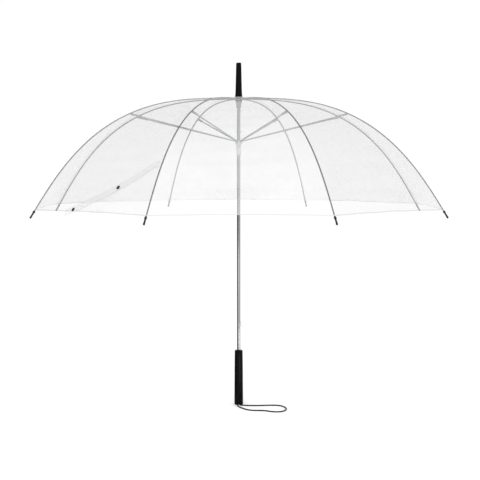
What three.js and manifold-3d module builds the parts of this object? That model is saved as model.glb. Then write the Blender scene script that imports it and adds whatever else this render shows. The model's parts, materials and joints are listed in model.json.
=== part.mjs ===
// Clear-film stick umbrella, open, standing on the end of its handle.
// Millimetres, +Z up, origin at the centre of the handle's flat end.
// Ribs and stretchers are drawn once in the XZ plane and set round the shaft.
import * as THREE from 'three';
import { mergeVertices } from 'three/addons/utils/BufferGeometryUtils.js';
import Module from 'manifold-3d';

const wasm = await Module();
wasm.setup();
const { Manifold, Mesh } = wasm;

// ---- overall sizes ----
const RIB_COUNT = 8;
const RIB_LENGTH = 600;          // along the rib, from the crown wire to the end of its tip
const RIB_DROOP = 58;            // degrees below level at the tip; level at the crown
const CROWN_Z = 728.6;           // height of the crown wire
const RUNNER_DROP = 99.6;        // from the crown wire down to the runner wire, open

// ---- clearances ----
const GAP = 0.3;                 // between pieces that touch or move past each other
const EDGE_GAP = 0.25;           // each film panel stops this far from the middle of its gore

// ---- shaft ----
const SHAFT_R = 4;
const SHAFT_WALL = 0.6;
const SHAFT_FOOT = 26;           // lower end, inside the handle
const FERRULE_INSERT = 30;       // how far the shaft goes up into the ferrule

// ---- ferrule, crown and cap at the top ----
const FERRULE_H = 80;
const FERRULE_BASE_R = 8.6;
const FERRULE_MID_R = 7;
const FERRULE_TOP_R = 6.1;
const CROWN_WIRE_R = 8;
const CROWN_RIM_R = 10.8;
const CROWN_NECK_R = 5.6;
const CROWN_H = 22;
const CROWN_PIN_R = 0.9;
const CAP_R = 12;
const CAP_T = 2;
const WIRE_R = 0.4;              // both rib wires

// ---- ribs, stretchers, tips ----
const RIB_W = 2.4;
const RIB_H = 2.6;
const RIB_EYE_R = 1.7;
const RIB_TANG_W = 1.4;          // the thin end that goes into the tip
const JOINT_S = 262;             // along the rib, from the crown wire to the stretcher joint
const JOINT_DROP = 3;            // the joint's rivet lies this far under the middle of the rib
const LUG_R = 2.1;
const RIVET_R = 0.8;
const STRETCHER_H = 2.6;
const STRETCHER_EYE_R = 1.3;
const FORK_L = 26;
const FORK_H = 4.2;
const CHEEK_T = 0.8;
const FORK_SLOT_L = 6;
const TIP_L = 19.5;
const TIP_R = 2.3;
const TIP_COLLAR_R = 2.9;

// ---- runner ----
const RUNNER_WIRE_R = 7.2;
const RUNNER_SLEEVE_R = 5.5;
const RUNNER_HEAD_R = 8.5;
const RUNNER_HEAD_H = 8;
const RUNNER_L = 34;
const RUNNER_RIM_R = 6.3;
const WINDOW_W = 3;
const WINDOW_LOW = 11;           // window for the bottom spring, above the runner's lower end
const WINDOW_H = 17;
const STOP_PIN_RISE = 20;        // from the top of the runner to the stop pin
const STOP_PIN_R = 1;
const STOP_PIN_PROUD = 3.2;

// ---- spring catches ----
const SPRING_W = 2;
const SPRING_T = 0.8;
const SPRING_L = 34;             // from the step to the fixed end
const SPRING_PROUD = 2.5;        // how far the step stands out of the shaft
const SPRING_RAMP = 13;
const BOTTOM_STEP_Z = 190.5;
const TOP_SPRING_TURN = 90;      // degrees round the shaft; the bottom spring is at 0

// ---- handle and cord ----
const HANDLE_L = 131.5;
const HANDLE_TOP_R = 9.5;
const HANDLE_FOOT_R = 10.5;
const HANDLE_ROUND = 2.5;
const PLUG_R = 7;
const PLUG_L = 11;
const CORD_R = 1.5;
const CORD_HOLE_X = 2.3;         // the two strands go up into the plug at +X and -X
const CORD_HOLE_Y = -4;
const CORD_CHANNEL_H = 5;

// ---- canopy film, tie strap, snaps ----
const FILM_T = 0.5;
const HEM_CLEAR = 0.5;           // from the inner ends of the tips back to the hem
const SCALLOP = 3;               // the hem rises this much in the middle of each gore
const FILM_START_S = 2;
const STRAP_W = 16;
const STRAP_T = 0.6;
const SNAP_R = 4.3;
const SNAP_H = 1.6;

const rad = THREE.MathUtils.degToRad;
const ALPHA = Math.PI / RIB_COUNT;          // half a gore
const UP = new THREE.Vector3(0, 0, 1);
const group = new THREE.Group();
group.name = 'stick_umbrella';

// ---- finishes ----
const finish = (color, roughness, metalness, opacity = 1) => () => new THREE.MeshStandardMaterial({
  color, roughness, metalness, opacity, transparent: opacity < 1,
});
const steel = finish(0xaeb0b2, 0.3, 1);
const darkSteel = finish(0x55585b, 0.4, 1);
const blackPlastic = finish(0x0b0c0d, 0.25, 0);
const clearPlastic = finish(0xc9cccf, 0.35, 0, 0.7);
const film = finish(0xeef0f1, 0.12, 0, 0.25);
const blackCord = finish(0x111213, 0.85, 0);

// ---- helpers ----
function add(name, geometry, material, turn = 0) {
  const mesh = new THREE.Mesh(geometry, material());
  mesh.name = name;
  mesh.rotation.z = turn;
  group.add(mesh);
  return mesh;
}

function toManifold(geometry) {
  const bare = new THREE.BufferGeometry();
  bare.setAttribute('position', geometry.attributes.position);
  if (geometry.index) bare.setIndex(geometry.index);
  const merged = mergeVertices(bare, 1e-4);
  return new Manifold(new Mesh({
    numProp: 3,
    vertProperties: new Float32Array(merged.attributes.position.array),
    triVerts: new Uint32Array(merged.index.array),
  }));
}

function toGeometry(manifold) {
  const mesh = manifold.getMesh();
  const geometry = new THREE.BufferGeometry();
  geometry.setAttribute('position', new THREE.BufferAttribute(mesh.vertProperties, 3));
  geometry.setIndex(new THREE.BufferAttribute(mesh.triVerts, 1));
  return geometry;
}

const join = (...parts) => toGeometry(Manifold.union(parts.map(toManifold)));
const cut = (from, ...tools) => toGeometry(
  toManifold(from).subtract(Manifold.union(tools.map(toManifold))));

// a body of revolution about Z; the profile is a closed loop of [r, z], up its outside first
function turned(profile, segments = 24) {
  const points = profile.map(([r, z]) => new THREE.Vector2(r, z));
  points.push(points[0].clone());
  return new THREE.LatheGeometry(points, segments).rotateX(Math.PI / 2);
}

// an outline in the XZ plane, given depth w along Y and centred on y
function plate(outline, w, y = 0) {
  const shape = new THREE.Shape(outline.map(([x, z]) => new THREE.Vector2(x, z)));
  return new THREE.ExtrudeGeometry(shape, { depth: w, bevelEnabled: false, steps: 1 })
    .translate(0, 0, -w / 2 - y).rotateX(Math.PI / 2);
}

// a cylinder along Y, centred on y = 0
const pinY = (r, length, x, z, segments = 12) =>
  new THREE.CylinderGeometry(r, r, length, segments).translate(x, 0, z);

// a cylinder along X, centred on x = 0
const pinX = (r, length, z, segments = 12) =>
  new THREE.CylinderGeometry(r, r, length, segments).rotateZ(Math.PI / 2).translate(0, 0, z);

function box(x0, x1, y0, y1, z0, z1) {
  return new THREE.BoxGeometry(x1 - x0, y1 - y0, z1 - z0)
    .translate((x0 + x1) / 2, (y0 + y1) / 2, (z0 + z1) / 2);
}

// a closed sheet between two grids of points, top[i][j] over bottom[i][j]
function sheet(top, bottom) {
  const n = top.length, m = top[0].length, index = [];
  const at = (layer, i, j) => (layer * n + i) * m + j;
  const quad = (a, b, c, d) => index.push(a, b, c, a, c, d);
  for (let i = 0; i + 1 < n; i++) {
    for (let j = 0; j + 1 < m; j++) {
      quad(at(0, i, j), at(0, i + 1, j), at(0, i + 1, j + 1), at(0, i, j + 1));
      quad(at(1, i, j), at(1, i, j + 1), at(1, i + 1, j + 1), at(1, i + 1, j));
    }
    quad(at(0, i, 0), at(1, i, 0), at(1, i + 1, 0), at(0, i + 1, 0));
    quad(at(0, i, m - 1), at(0, i + 1, m - 1), at(1, i + 1, m - 1), at(1, i, m - 1));
  }
  for (let j = 0; j + 1 < m; j++) {
    quad(at(0, 0, j), at(0, 0, j + 1), at(1, 0, j + 1), at(1, 0, j));
    quad(at(0, n - 1, j), at(1, n - 1, j), at(1, n - 1, j + 1), at(0, n - 1, j + 1));
  }
  const positions = [top, bottom].flatMap((grid) => grid.flat().flatMap((p) => p.toArray()));
  const geometry = new THREE.BufferGeometry();
  geometry.setAttribute('position', new THREE.Float32BufferAttribute(positions, 3));
  geometry.setIndex(index);
  return geometry;
}

// ---- the rib's curve: level at the crown, RIB_DROOP at the tip, most bent halfway ----
const droop = (s) => rad(RIB_DROOP) * (1 - Math.cos(Math.PI * s / RIB_LENGTH)) / 2;

// the point s along the rib and h above its middle, as [r, z]
function ribPoint(s, h = 0) {
  const steps = 80, ds = s / steps;
  let r = CROWN_WIRE_R, z = CROWN_Z;
  for (let i = 0; i < steps; i++) {
    const a = droop((i + 0.5) * ds);
    r += ds * Math.cos(a);
    z -= ds * Math.sin(a);
  }
  const a = droop(s);
  return [r + h * Math.sin(a), z + h * Math.cos(a)];
}

// ribs and film bend at the same places, so the gap between them stays even
const INNER_STEPS = 8;
const OUTER_STEPS = 10;
const stations = (s0, s1, n) => Array.from({ length: n + 1 }, (_, i) => s0 + (s1 - s0) * i / n);

// ---- shaft, with slots for the spring catches and holes for its pins ----
const HEM_S = RIB_LENGTH - TIP_L - HEM_CLEAR;      // along the rib, to the hem
const ferruleZ = CROWN_Z + RIB_H / 2 + GAP + FILM_T + GAP + CAP_T + GAP;
const shaftTop = ferruleZ + FERRULE_INSERT;
const runnerWireZ = CROWN_Z - RUNNER_DROP;
const runnerTop = runnerWireZ + 2;
const runnerFoot = runnerTop - RUNNER_L;
const stopPinZ = runnerTop + STOP_PIN_RISE;
const topStepZ = runnerFoot - GAP;
const crownPinZ = CROWN_Z - CROWN_H * 0.68;
const bore = SHAFT_R - SHAFT_WALL;
const springSlotW = SPRING_W + 2 * GAP;
const topSpringTurn = rad(TOP_SPRING_TURN);

const topSlot = box(0, SHAFT_R + 1, -springSlotW / 2, springSlotW / 2,
  topStepZ - SPRING_RAMP - 2, topStepZ + 1).rotateZ(topSpringTurn);
const bottomSlot = box(0, SHAFT_R + 1, -springSlotW / 2, springSlotW / 2,
  BOTTOM_STEP_Z - 1, BOTTOM_STEP_Z + SPRING_RAMP + 2);
add('shaft_tube', cut(
  turned([[SHAFT_R, SHAFT_FOOT], [SHAFT_R, shaftTop], [bore, shaftTop], [bore, SHAFT_FOOT]]),
  topSlot, bottomSlot,
  pinX(STOP_PIN_R + GAP / 2, 3 * SHAFT_R, stopPinZ),
  pinX(CROWN_PIN_R + GAP / 2, 3 * SHAFT_R, crownPinZ),
), steel);

add('stop_pin', pinX(STOP_PIN_R, 2 * (SHAFT_R + STOP_PIN_PROUD), stopPinZ), steel);

// ---- ferrule: a long flared cap over the shaft's end ----
const sleeveBore = SHAFT_R + GAP;
const domeR = FERRULE_TOP_R;
const dome = stations(0.15, 0.85, 3).map((t) => [
  domeR - 2 + 2 * Math.cos(t * Math.PI / 2), ferruleZ + FERRULE_H - 2 + 2 * Math.sin(t * Math.PI / 2),
]);
add('ferrule', turned([
  [FERRULE_BASE_R, ferruleZ],
  [FERRULE_BASE_R - 0.3, ferruleZ + 4],
  [FERRULE_MID_R + 0.5, ferruleZ + FERRULE_H * 0.25],
  [FERRULE_MID_R, ferruleZ + FERRULE_H * 0.5],
  [FERRULE_TOP_R, ferruleZ + FERRULE_H - 2],
  ...dome,
  [0, ferruleZ + FERRULE_H],
  [0, shaftTop + GAP], [sleeveBore, shaftTop + GAP], [sleeveBore, ferruleZ],
].filter((p, i, all) => i === 0 || p !== all[i - 1])), blackPlastic);

// ---- canopy cap: the clear washer that clamps the film under the ferrule ----
const capZ = ferruleZ - GAP - CAP_T;
add('canopy_cap', turned([
  [CAP_R, capZ], [CAP_R, capZ + CAP_T * 0.4], [CAP_R - 1.4, capZ + CAP_T],
  [sleeveBore, capZ + CAP_T], [sleeveBore, capZ],
]), clearPlastic);

// ---- crown: the notched funnel that the ribs hang in ----
const ribSlotW = RIB_W + 2 * GAP;
const crownTop = CROWN_Z + RIB_H / 2;
const crownFoot = crownTop - CROWN_H;
const wireGroove = (r, z, top) => turned([
  [r + WIRE_R + GAP, z - WIRE_R - GAP], [r + WIRE_R + GAP, top],
  [r - WIRE_R - GAP, top], [r - WIRE_R - GAP, z - WIRE_R - GAP],
]);
const ribSlots = (inner, outer, z0, z1) => Array.from({ length: RIB_COUNT }, (_, k) =>
  box(inner, outer, -ribSlotW / 2, ribSlotW / 2, z0, z1).rotateZ((2 * k + 1) * ALPHA));
const crownBody = turned([
  [CROWN_NECK_R, crownFoot], [CROWN_NECK_R + 0.4, crownFoot + CROWN_H * 0.4],
  [CROWN_RIM_R - 2, crownTop - 3], [CROWN_RIM_R, crownTop - 2], [CROWN_RIM_R, crownTop],
  [sleeveBore, crownTop], [sleeveBore, crownFoot],
], 32);
add('crown', cut(crownBody,
  ...ribSlots(CROWN_WIRE_R - RIB_EYE_R - GAP, CROWN_RIM_R + 1, crownFoot - 1, crownTop + 1),
  wireGroove(CROWN_WIRE_R, CROWN_Z, crownTop + 1),
  pinX(CROWN_PIN_R + GAP / 2, 4 * SHAFT_R, crownPinZ),
), clearPlastic);
add('crown_pin', pinX(CROWN_PIN_R, 2 * CROWN_NECK_R - 0.4, crownPinZ), steel);
add('crown_wire', new THREE.TorusGeometry(CROWN_WIRE_R, WIRE_R, 6, 24)
  .translate(0, 0, CROWN_Z), steel);

// ---- runner: sleeve, notched head, lower rim, and a window for the bottom spring ----
const slideBore = SHAFT_R + 1.3 * GAP;
const runnerBody = turned([
  [RUNNER_RIM_R, runnerFoot], [RUNNER_RIM_R, runnerFoot + 2],
  [RUNNER_SLEEVE_R, runnerFoot + 3.2],
  [RUNNER_SLEEVE_R, runnerTop - RUNNER_HEAD_H - 3], [RUNNER_HEAD_R, runnerTop - RUNNER_HEAD_H],
  [RUNNER_HEAD_R, runnerTop], [slideBore, runnerTop], [slideBore, runnerFoot],
], 32);
add('runner', cut(runnerBody,
  ...ribSlots(RUNNER_WIRE_R - STRETCHER_EYE_R - GAP, RUNNER_HEAD_R + 1, runnerFoot - 1, runnerTop + 1),
  wireGroove(RUNNER_WIRE_R, runnerWireZ, runnerTop + 1),
  box(SHAFT_R - 1, RUNNER_HEAD_R, -WINDOW_W / 2, WINDOW_W / 2,
    runnerFoot + WINDOW_LOW, runnerFoot + WINDOW_LOW + WINDOW_H),
), clearPlastic);
add('runner_wire', new THREE.TorusGeometry(RUNNER_WIRE_R, WIRE_R, 6, 24)
  .translate(0, 0, runnerWireZ), steel);

// ---- spring catches: bent leaves inside the shaft whose steps stand out of its slots ----
function springLeaf(stepZ, up) {
  const outer = bore - 0.4, inner = outer - SPRING_T, tip = SHAFT_R + SPRING_PROUD;
  const z = (d) => stepZ + up * d;      // d runs from the step towards the free end
  const outline = [
    [inner, z(-SPRING_L)], [outer, z(-SPRING_L)], [outer, z(-SPRING_RAMP)],
    [tip, z(-2)], [tip - 0.6, z(0)], [outer, z(0)],
    [outer, z(3)], [inner, z(3)], [inner, z(-1)],
    [inner, z(-SPRING_RAMP)],
  ];
  return plate(up > 0 ? outline : outline.reverse(), SPRING_W);
}
add('top_spring', springLeaf(topStepZ, 1), steel, topSpringTurn);
add('bottom_spring', springLeaf(BOTTOM_STEP_Z, -1), darkSteel);

// ---- ribs, stretchers and tips ----
const jointAt = ribPoint(JOINT_S, -JOINT_DROP);
const tangStart = RIB_LENGTH - TIP_L - 1;
const tangEnd = RIB_LENGTH - 3;

function ribBar(s, height, width) {
  const outline = [...s.map((v) => ribPoint(v, -height / 2)),
    ...s.reverse().map((v) => ribPoint(v, height / 2))];
  return plate(outline, width);
}
const ribSolid = cut(
  join(
    ribBar([...stations(0, JOINT_S, INNER_STEPS), ...stations(JOINT_S, tangStart, OUTER_STEPS).slice(1)],
      RIB_H, RIB_W),
    ribBar(stations(tangStart - 2, tangEnd, 2), RIB_TANG_W, RIB_TANG_W),
    pinY(RIB_EYE_R, RIB_W, CROWN_WIRE_R, CROWN_Z, 16), pinY(LUG_R, RIB_W, ...jointAt, 16)),
  pinY(WIRE_R + GAP, 2 * RIB_W, CROWN_WIRE_R, CROWN_Z),
  pinY(RIVET_R + GAP, 2 * RIB_W, ...jointAt),
);

// the stretcher lies along X from its runner eye at 0, then is laid between its two pivots
const span = [jointAt[0] - RUNNER_WIRE_R, jointAt[1] - runnerWireZ];
const stretcherL = Math.hypot(...span);
const forkSlotW = RIB_W + 2 * GAP;
const forkW = forkSlotW + 2 * CHEEK_T;
const bar = (x0, x1, h, w, nose = 0) => plate([
  [x0, -h / 2 + nose], [x0 + nose, -h / 2], [x1 - nose, -h / 2], [x1, -h / 2 + nose],
  [x1, h / 2 - nose], [x1 - nose, h / 2], [x0 + nose, h / 2], [x0, h / 2 - nose],
].filter((p, i, all) => i === 0 || nose > 0 || p[0] !== all[i - 1][0] || p[1] !== all[i - 1][1]), w);
const fork = cut(
  bar(stretcherL - FORK_L, stretcherL + FORK_H / 2, FORK_H, forkW, 1.2),
  box(stretcherL - FORK_SLOT_L, stretcherL + FORK_H, -forkSlotW / 2, forkSlotW / 2, -FORK_H, FORK_H),
);
const stretcherSolid = cut(
  join(bar(0.6, stretcherL - FORK_L + 2, STRETCHER_H, RIB_W, 0.01), fork,
    pinY(STRETCHER_EYE_R, RIB_W, 0, 0, 16), pinY(RIVET_R, forkW, stretcherL, 0)),
  pinY(WIRE_R + GAP, 2 * RIB_W, 0, 0),
).rotateY(-Math.atan2(span[1], span[0])).translate(RUNNER_WIRE_R, 0, runnerWireZ);

const tipFrom = ribPoint(RIB_LENGTH - TIP_L), tipTo = ribPoint(RIB_LENGTH);
const tipL = Math.hypot(tipTo[0] - tipFrom[0], tipTo[1] - tipFrom[1]);
const tangBore = RIB_TANG_W * Math.SQRT1_2 + GAP;
const tipSolid = turned([
  [TIP_R, 0], [TIP_R, 1.5], [TIP_COLLAR_R, 2.2], [TIP_COLLAR_R, 4], [TIP_R - 0.3, 5],
  [TIP_R - 0.2, tipL - 4], [TIP_R, tipL - 2], [TIP_R - 0.8, tipL - 0.4], [0, tipL],
  [0, tipL - 3 + GAP], [tangBore, tipL - 3 + GAP], [tangBore, 0],
], 10)
  .rotateY(Math.PI / 2 + Math.atan2(tipFrom[1] - tipTo[1], tipTo[0] - tipFrom[0]))
  .translate(tipFrom[0], 0, tipFrom[1]);

// ---- canopy film: each rib carries a panel out to the middle of the gore on each side,
// in two lengths that meet over the stretcher joint; between ribs the film is straight ----
// the film's underside, above the middle of the rib: it clears the rib's edges, which it slopes down past
const filmRise = (s) => RIB_H / 2 + GAP + RIB_W / 2 * Math.tan(ALPHA) * Math.sin(droop(s));

// a point h above the film's underside, u of the way from this rib (0) to mid-gore (-1 or 1)
function filmPoint(s, u, h) {
  const [r, z] = ribPoint(s, filmRise(s) + h);
  const half = r * Math.sin(ALPHA);
  const across = Math.sign(u) * Math.min(Math.abs(u) * half, half - EDGE_GAP);
  return new THREE.Vector3(r - Math.abs(across) * Math.sin(ALPHA), across * Math.cos(ALPHA), z);
}

function panel(s0, s1, n, hem) {
  const layer = (h) => stations(s0, s1, n).map((s) => [-1, 0, 1].map((u) =>
    filmPoint(s - hem * Math.abs(u) * (s - s0) / (s1 - s0), u, h)));
  return sheet(layer(FILM_T), layer(0));
}
const innerPanel = panel(FILM_START_S, JOINT_S - EDGE_GAP, INNER_STEPS, 0);
const outerPanel = panel(JOINT_S + EDGE_GAP, HEM_S, OUTER_STEPS, SCALLOP);

for (let k = 0; k < RIB_COUNT; k++) {
  const turn = (2 * k + 1) * ALPHA, n = k + 1;
  add(`rib_${n}`, ribSolid, darkSteel, turn);
  add(`stretcher_${n}`, stretcherSolid, steel, turn);
  add(`rib_tip_${n}`, tipSolid, blackPlastic, turn);
  add(`canopy_inner_${n}`, innerPanel, film, turn);
  add(`canopy_outer_${n}`, outerPanel, film, turn);
}

// ---- tie strap: laid over the gore between ribs 5 and 6, held by two snap buttons ----
const LEFT_RIB = 5;
// a point h above the film there, u of the way from rib 5 (0) to rib 6 (1), s along the ribs
function gorePoint(u, s, h) {
  const [r, z] = ribPoint(s, filmRise(s) + FILM_T + h);
  const over = (rib) => new THREE.Vector3(r, 0, z).applyAxisAngle(UP, (2 * rib - 1) * ALPHA);
  return over(LEFT_RIB).lerp(over(LEFT_RIB + 1), u);
}
// each point: how far across the gore, and how far beyond the hem
const strapRoute = new THREE.CatmullRomCurve3([
  [0.985, -124], [0.94, -120], [0.89, -108], [0.83, -92], [0.69, -63], [0.53, -33], [0.37, -6],
  [0.31, 3],
].map(([u, past]) => new THREE.Vector3(u, HEM_S + past, 0)));

// the strap's centre, its direction and the film's normal at t along it
function strapFrame(t) {
  const p = strapRoute.getPoint(t), d = strapRoute.getTangent(t).multiplyScalar(0.01);
  const across = gorePoint(1, p.y, 0).sub(gorePoint(0, p.y, 0));
  const down = gorePoint(p.x, p.y + 1, 0).sub(gorePoint(p.x, p.y, 0));
  const normal = new THREE.Vector3().crossVectors(down, across).normalize();
  const here = gorePoint(p.x, p.y, 0).addScaledVector(normal, 1.3 * GAP);
  const along = gorePoint(p.x + d.x, p.y + d.y, 0).sub(gorePoint(p.x, p.y, 0)).normalize();
  const side = new THREE.Vector3().crossVectors(normal, along).normalize();
  return { here, normal, side };
}
const strapLayer = (h) => stations(0, 1, 14).map((t) => {
  const { here, normal, side } = strapFrame(t);
  return [-1, 0, 1].map((e) => here.clone().addScaledVector(side, e * STRAP_W / 2)
    .addScaledVector(normal, h));
});
add('tie_strap', sheet(strapLayer(STRAP_T), strapLayer(0)), film);

function snap(t, name) {
  const { here, normal } = strapFrame(t);
  const disc = turned([
    [SNAP_R, 0], [SNAP_R, SNAP_H * 0.6], [SNAP_R - 0.8, SNAP_H], [0, SNAP_H], [0, 0],
  ], 20);
  const low = here.addScaledVector(normal, STRAP_T + GAP);
  disc.applyQuaternion(new THREE.Quaternion().setFromUnitVectors(UP, normal));
  add(name, disc.translate(...low), blackPlastic);
}
snap(4 / 7, 'snap_socket');
snap(6 / 7, 'snap_stud');

// ---- handle: grip, end plug, and the wrist cord that comes out under the front edge ----
const channel = (depth) => box(-CORD_HOLE_X - CORD_R - GAP, CORD_HOLE_X + CORD_R + GAP,
  -HANDLE_FOOT_R - 2, CORD_HOLE_Y + CORD_R + GAP, -1, depth);
const edge = stations(0, 1, 3).map((t) => [
  HANDLE_FOOT_R - HANDLE_ROUND + HANDLE_ROUND * Math.sin(t * Math.PI / 2),
  HANDLE_ROUND - HANDLE_ROUND * Math.cos(t * Math.PI / 2),
]);
add('handle_grip', cut(turned([
  ...edge, [HANDLE_TOP_R + 0.6, HANDLE_L * 0.6], [HANDLE_TOP_R, HANDLE_L - 1], [HANDLE_TOP_R - 1, HANDLE_L],
  [sleeveBore, HANDLE_L], [sleeveBore, SHAFT_FOOT - GAP], [PLUG_R, SHAFT_FOOT - GAP], [PLUG_R, 0],
], 32), channel(CORD_CHANNEL_H)), blackPlastic);
const cordHoleTop = PLUG_L - 2;
add('handle_plug', cut(
  turned([[PLUG_R - GAP, 0], [PLUG_R - GAP, PLUG_L], [0, PLUG_L], [0, 0]], 32),
  channel(CORD_CHANNEL_H),
  ...[-1, 1].map((side) => new THREE.CylinderGeometry(CORD_R + GAP, CORD_R + GAP, cordHoleTop, 12)
    .rotateX(Math.PI / 2).translate(side * CORD_HOLE_X, CORD_HOLE_Y, cordHoleTop / 2)),
), blackPlastic);

const cordZ = CORD_R + 0.1;
const cordTop = cordHoleTop - GAP;
const cordRoute = new THREE.CatmullRomCurve3([
  [CORD_HOLE_X, CORD_HOLE_Y, cordTop], [CORD_HOLE_X, CORD_HOLE_Y, 5.4],
  [CORD_HOLE_X, -5.2, 2.7], [CORD_HOLE_X, -7.2, cordZ + 0.2], [2.4, -10, cordZ], [6, -15.5, cordZ], [16, -19.5, cordZ],
  [32, -21.5, cordZ], [50, -21, cordZ], [70, -18.5, cordZ], [88, -18.5, cordZ], [101, -26, cordZ],
  [109, -42, cordZ], [111, -62, cordZ], [105, -81, cordZ], [92, -91, cordZ], [76, -88, cordZ],
  [62, -79, cordZ], [48, -76, cordZ], [34, -75, cordZ], [20, -67, cordZ], [8, -50, cordZ],
  [-0.5, -32, cordZ], [-2.7, -17, cordZ], [-2.4, -10, cordZ],
  [-CORD_HOLE_X, -7.2, cordZ + 0.2], [-CORD_HOLE_X, -5.2, 2.7], [-CORD_HOLE_X, CORD_HOLE_Y, 5.4],
  [-CORD_HOLE_X, CORD_HOLE_Y, cordTop],
].map((p) => new THREE.Vector3(...p)));
const cordShape = new THREE.Shape().absarc(0, 0, CORD_R, 0, 2 * Math.PI);
add('wrist_cord', new THREE.ExtrudeGeometry(cordShape,
  { extrudePath: cordRoute, steps: 90, curveSegments: 8, bevelEnabled: false }), blackCord);

export default group;
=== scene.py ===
"""Clear-film stick umbrella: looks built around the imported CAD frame. Metres, +Z up."""

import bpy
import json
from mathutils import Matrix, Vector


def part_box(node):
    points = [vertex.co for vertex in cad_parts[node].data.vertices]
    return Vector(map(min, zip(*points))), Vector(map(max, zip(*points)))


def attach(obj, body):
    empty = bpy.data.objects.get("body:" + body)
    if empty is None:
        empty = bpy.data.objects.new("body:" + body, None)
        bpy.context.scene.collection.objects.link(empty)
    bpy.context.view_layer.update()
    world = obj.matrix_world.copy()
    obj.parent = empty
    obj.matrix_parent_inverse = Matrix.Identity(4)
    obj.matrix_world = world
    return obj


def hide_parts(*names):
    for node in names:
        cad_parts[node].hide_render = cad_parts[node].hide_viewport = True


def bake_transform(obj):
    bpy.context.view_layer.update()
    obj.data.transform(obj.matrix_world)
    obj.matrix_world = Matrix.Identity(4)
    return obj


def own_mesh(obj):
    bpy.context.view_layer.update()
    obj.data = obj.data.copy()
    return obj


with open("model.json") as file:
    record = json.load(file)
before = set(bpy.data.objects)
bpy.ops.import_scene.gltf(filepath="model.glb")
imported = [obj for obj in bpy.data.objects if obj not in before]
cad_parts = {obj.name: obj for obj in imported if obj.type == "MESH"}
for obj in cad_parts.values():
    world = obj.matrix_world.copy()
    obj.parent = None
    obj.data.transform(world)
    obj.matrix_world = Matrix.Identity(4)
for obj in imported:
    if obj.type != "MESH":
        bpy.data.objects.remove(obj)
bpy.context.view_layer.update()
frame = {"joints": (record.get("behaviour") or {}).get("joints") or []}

import json
import math

import bmesh
import bpy
import numpy as np
from mathutils import Matrix, Vector

JOINTS = {j["name"]: j for j in frame["joints"]}
RIBS = 8
ALPHA = math.pi / RIBS                      # half a gore


# ------------------------------------------------------------------ camera
CAMERA_DISTANCE = 2.75
CAMERA_HEIGHT = 0.5836
CAMERA_PITCH = math.radians(3.92)
CAMERA_TURN = math.radians(0.45)             # the camera stands this far round to the left
CAMERA_AIM = math.radians(0.064)             # and looks this far past the shaft

camera_data = bpy.data.cameras.new("camera")
camera_data.lens = 87.0
camera_data.sensor_width = 36.0
camera_data.clip_end = 100
camera = bpy.data.objects.new("camera", camera_data)
camera.location = (-CAMERA_DISTANCE * math.tan(CAMERA_TURN), -CAMERA_DISTANCE, CAMERA_HEIGHT)
camera.rotation_euler = (math.pi / 2 - CAMERA_PITCH, 0, -CAMERA_TURN - CAMERA_AIM)
bpy.context.scene.collection.objects.link(camera)
bpy.context.scene.camera = camera


# ------------------------------------------------------------------ helpers
def add_mesh(name, verts, faces, smooth=True, attributes=None):
    mesh = bpy.data.meshes.new(name)
    mesh.from_pydata([tuple(map(float, v)) for v in verts], [], faces)
    for key, values in (attributes or {}).items():
        layer = mesh.attributes.new(key, "FLOAT", "POINT")
        layer.data.foreach_set("value", np.asarray(values, np.float32))
    bm = bmesh.new()
    bm.from_mesh(mesh)
    bmesh.ops.recalc_face_normals(bm, faces=bm.faces)
    bm.to_mesh(mesh)
    bm.free()
    if smooth:
        mesh.shade_smooth()
    else:
        mesh.shade_flat()
    obj = bpy.data.objects.new(name, mesh)
    bpy.context.scene.collection.objects.link(obj)
    return obj


def sharpen(obj, degrees=35):
    """Smooth shading, with edges over this angle kept crisp."""
    mesh = obj.data
    bm = bmesh.new()
    bm.from_mesh(mesh)
    for edge in bm.edges:
        edge.smooth = not (edge.is_manifold and edge.calc_face_angle(0) > math.radians(degrees))
    bm.to_mesh(mesh)
    bm.free()
    return obj


def grid_faces(rows, cols, wrap_rows=False, wrap_cols=False):
    """Quads over a grid of rows by cols points."""
    faces = []
    for i in range(rows if wrap_rows else rows - 1):
        for j in range(cols if wrap_cols else cols - 1):
            a, b = i, (i + 1) % rows
            c, d = j, (j + 1) % cols
            faces.append((a * cols + c, b * cols + c, b * cols + d, a * cols + d))
    return faces


def tube_faces(rows, cols):
    """Faces of rows rings of cols points each, with both ends closed."""
    ends = [tuple(range(cols))[::-1], tuple(range((rows - 1) * cols, rows * cols))]
    return grid_faces(rows, cols, wrap_cols=True) + ends


def rounded(profile, radius, steps=4):
    """A closed (r, z) profile with its corners off the axis rounded to radius."""
    out, n = [], len(profile)
    for i, p in enumerate(profile):
        p, a, b = (np.array(q, float) for q in (p, profile[i - 1], profile[(i + 1) % n]))
        if p[0] < 1e-6:
            out.append(p)
            continue
        da, db = a - p, b - p
        la, lb = np.linalg.norm(da), np.linalg.norm(db)
        cut = min(radius, la * 0.45, lb * 0.45)
        start, end = p + da / la * cut, p + db / lb * cut
        for t in np.linspace(0, 1, steps + 1):
            out.append((1 - t) ** 2 * start + 2 * t * (1 - t) * p + t * t * end)
    return out


def turned(name, profile, segments=72):
    """A body of revolution about Z from a closed (r, z) profile."""
    verts, rings = [], []
    angles = np.linspace(0, 2 * math.pi, segments, endpoint=False)
    for r, z in profile:
        if r < 1e-6:
            rings.append([len(verts)] * segments)
            verts.append((0, 0, z))
        else:
            rings.append(list(range(len(verts), len(verts) + segments)))
            verts += [(r * math.cos(a), r * math.sin(a), z) for a in angles]
    faces = []
    for i in range(len(rings)):
        low, high = rings[i], rings[(i + 1) % len(rings)]
        for j in range(segments):
            k = (j + 1) % segments
            face = []
            for v in (low[j], low[k], high[k], high[j]):
                if v not in face:
                    face.append(v)
            if len(face) > 2:
                faces.append(face)
    return sharpen(add_mesh(name, verts, faces))


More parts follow.
